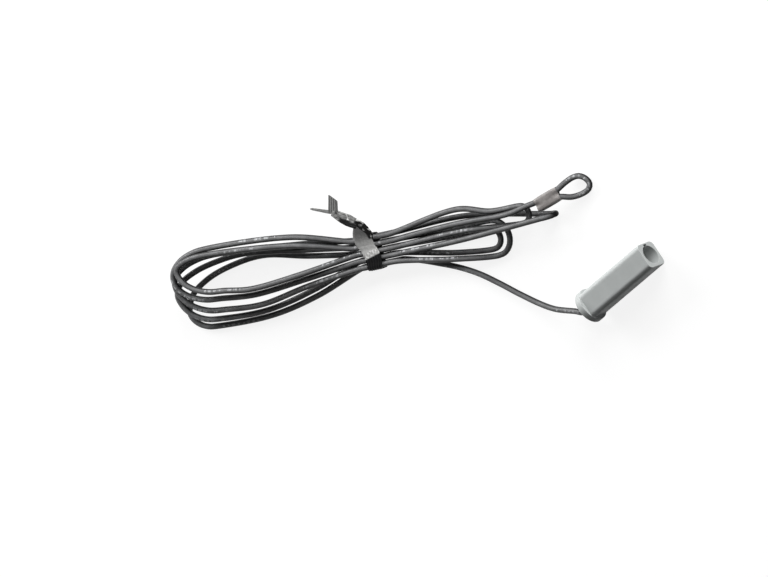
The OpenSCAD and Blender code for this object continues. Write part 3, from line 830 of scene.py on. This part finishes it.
def strip_plastic():
    """Dark glossy strip, painted paler where its faces catch the light, a painted sheen, and near-black
    where they face away, painted shade.
    """
    mat, tree, shader = nodes_of("tie_plastic")
    pale = add(tree, "ShaderNodeAttribute", attribute_name="pale").outputs["Fac"]
    mottle = math_node(tree, "MULTIPLY", pale, even(tree, grain(tree, 700, 4), 0.75, 1.15))
    colour = blend(tree, mottle, (0.008, 0.008, 0.0083), (0.75, 0.75, 0.735))
    tree.links.new(colour, shader.inputs["Base Color"])
    tree.links.new(even(tree, grain(tree, 900, 3), 0.26, 0.42), shader.inputs["Roughness"])
    tree.links.new(span(tree, pale, 0, 0.5, 0.06, 0.4), shader.inputs["Specular IOR Level"])
    add_bump(tree, shader, grain(tree, 2600, 2), 0.2, 0.00008)
    return mat


vinyl = jacket()
strip = strip_plastic()
for obj, mat, slot in (
    (cable, vinyl, "cable_jacket"), (housing, grey, "housing_plastic"),
    (sleeve, shrink, "eye_sleeve"), (tie, strip, "tie_plastic"),
):
    obj.data.materials.append(mat)
    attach(obj, "sensor")
for name, mat in (
    ("cable_bush", rubber), ("cable_tail", vinyl), ("resin", resin), ("reed_glass", glass),
    ("reed_lead_rear", nickel), ("reed_lead_front", nickel),
    ("reed_blade_rear", nickel), ("reed_blade_front", nickel),
    ("core_rear", red), ("core_front", white), ("conductor_rear", copper), ("conductor_front", copper),
    ("solder_rear", solder), ("solder_front", solder),
    ("lap_sleeve_rear", black), ("lap_sleeve_front", black),
):
    nodes[name].data.materials.clear()
    nodes[name].data.materials.append(mat)
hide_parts("cable_lead", "cable_hank", "cable_eye")
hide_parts("housing")
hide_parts("eye_sleeve")
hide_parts("twist_tie")


# Floor, light and background
OBJECT_MID = (-0.12, 0.085, 0)
LIT_SPOT = Vector((-0.08, 0.05, 0.01))
FLOOR_HALF = 9000
FLOOR_Z = -0.05


def seen(tree):
    path = tree.nodes.new("ShaderNodeLightPath").outputs
    out = math_node(tree, "MAXIMUM", path["Is Camera Ray"], path["Is Glossy Ray"])
    return math_node(tree, "MAXIMUM", out, path["Is Transmission Ray"])


mat = bpy.data.materials.new("floor")
mat.use_nodes = True
tree = mat.node_tree
tree.nodes.clear()
paper = add(tree, "ShaderNodeBsdfDiffuse", Color=(0.2, 0.2, 0.2, 1))
glow = add(tree, "ShaderNodeEmission", Color=(1, 1, 1, 1))
# Away from the object, where the lamps fade, the paper stays as white as the background
apart = add(tree, "ShaderNodeVectorMath", operation="DISTANCE")
apart.inputs[1].default_value = OBJECT_MID
tree.links.new(tree.nodes.new("ShaderNodeNewGeometry").outputs["Position"], apart.inputs[0])
white_paper = span(tree, apart.outputs["Value"], 0.3, 0.55, 0.87, 1.0)
tree.links.new(math_node(tree, "MULTIPLY", seen(tree), white_paper), glow.inputs["Strength"])
both = tree.nodes.new("ShaderNodeAddShader")
tree.links.new(paper.outputs[0], both.inputs[0])
tree.links.new(glow.outputs[0], both.inputs[1])
tree.links.new(both.outputs[0], tree.nodes.new("ShaderNodeOutputMaterial").inputs["Surface"])
corners = ((-1, -1), (1, -1), (1, 1), (-1, 1))
floor = make("floor", [(x * FLOOR_HALF, y * FLOOR_HALF, FLOOR_Z) for x, y in corners], [(0, 1, 2, 3)])
floor.data.materials.append(mat)

world = bpy.data.worlds.new("studio")
scene.world = world
world.use_nodes = True
tree = world.node_tree
sky = tree.nodes["Background"]
sky.inputs["Color"].default_value = (1, 1, 1, 1)
tree.links.new(span(tree, seen(tree), 0, 1, 0.05, 1.0), sky.inputs["Strength"])


def lamp(name, toward, away, size, power, along):
    """A soft box whose longer side runs the way of along."""
    data = bpy.data.lights.new(name, "AREA")
    data.shape = "RECTANGLE"
    data.size, data.size_y = size
    data.energy = power
    obj = bpy.data.objects.new(name, data)
    scene.collection.objects.link(obj)
    z = Vector(toward).normalized()
    y = z.cross(along).normalized()
    place = Matrix((y.cross(z), y, z)).transposed().to_4x4()
    place.translation = LIT_SPOT + z * away
    obj.matrix_world = place
    obj.visible_camera = False


lamp("key", (0.78, 0.55, 0.33), 1.8, (1.5, 1.0), 45, V)
lamp("rim", (-0.36, 0.85, 0.38), 1.7, (1.4, 0.6), 31, U)
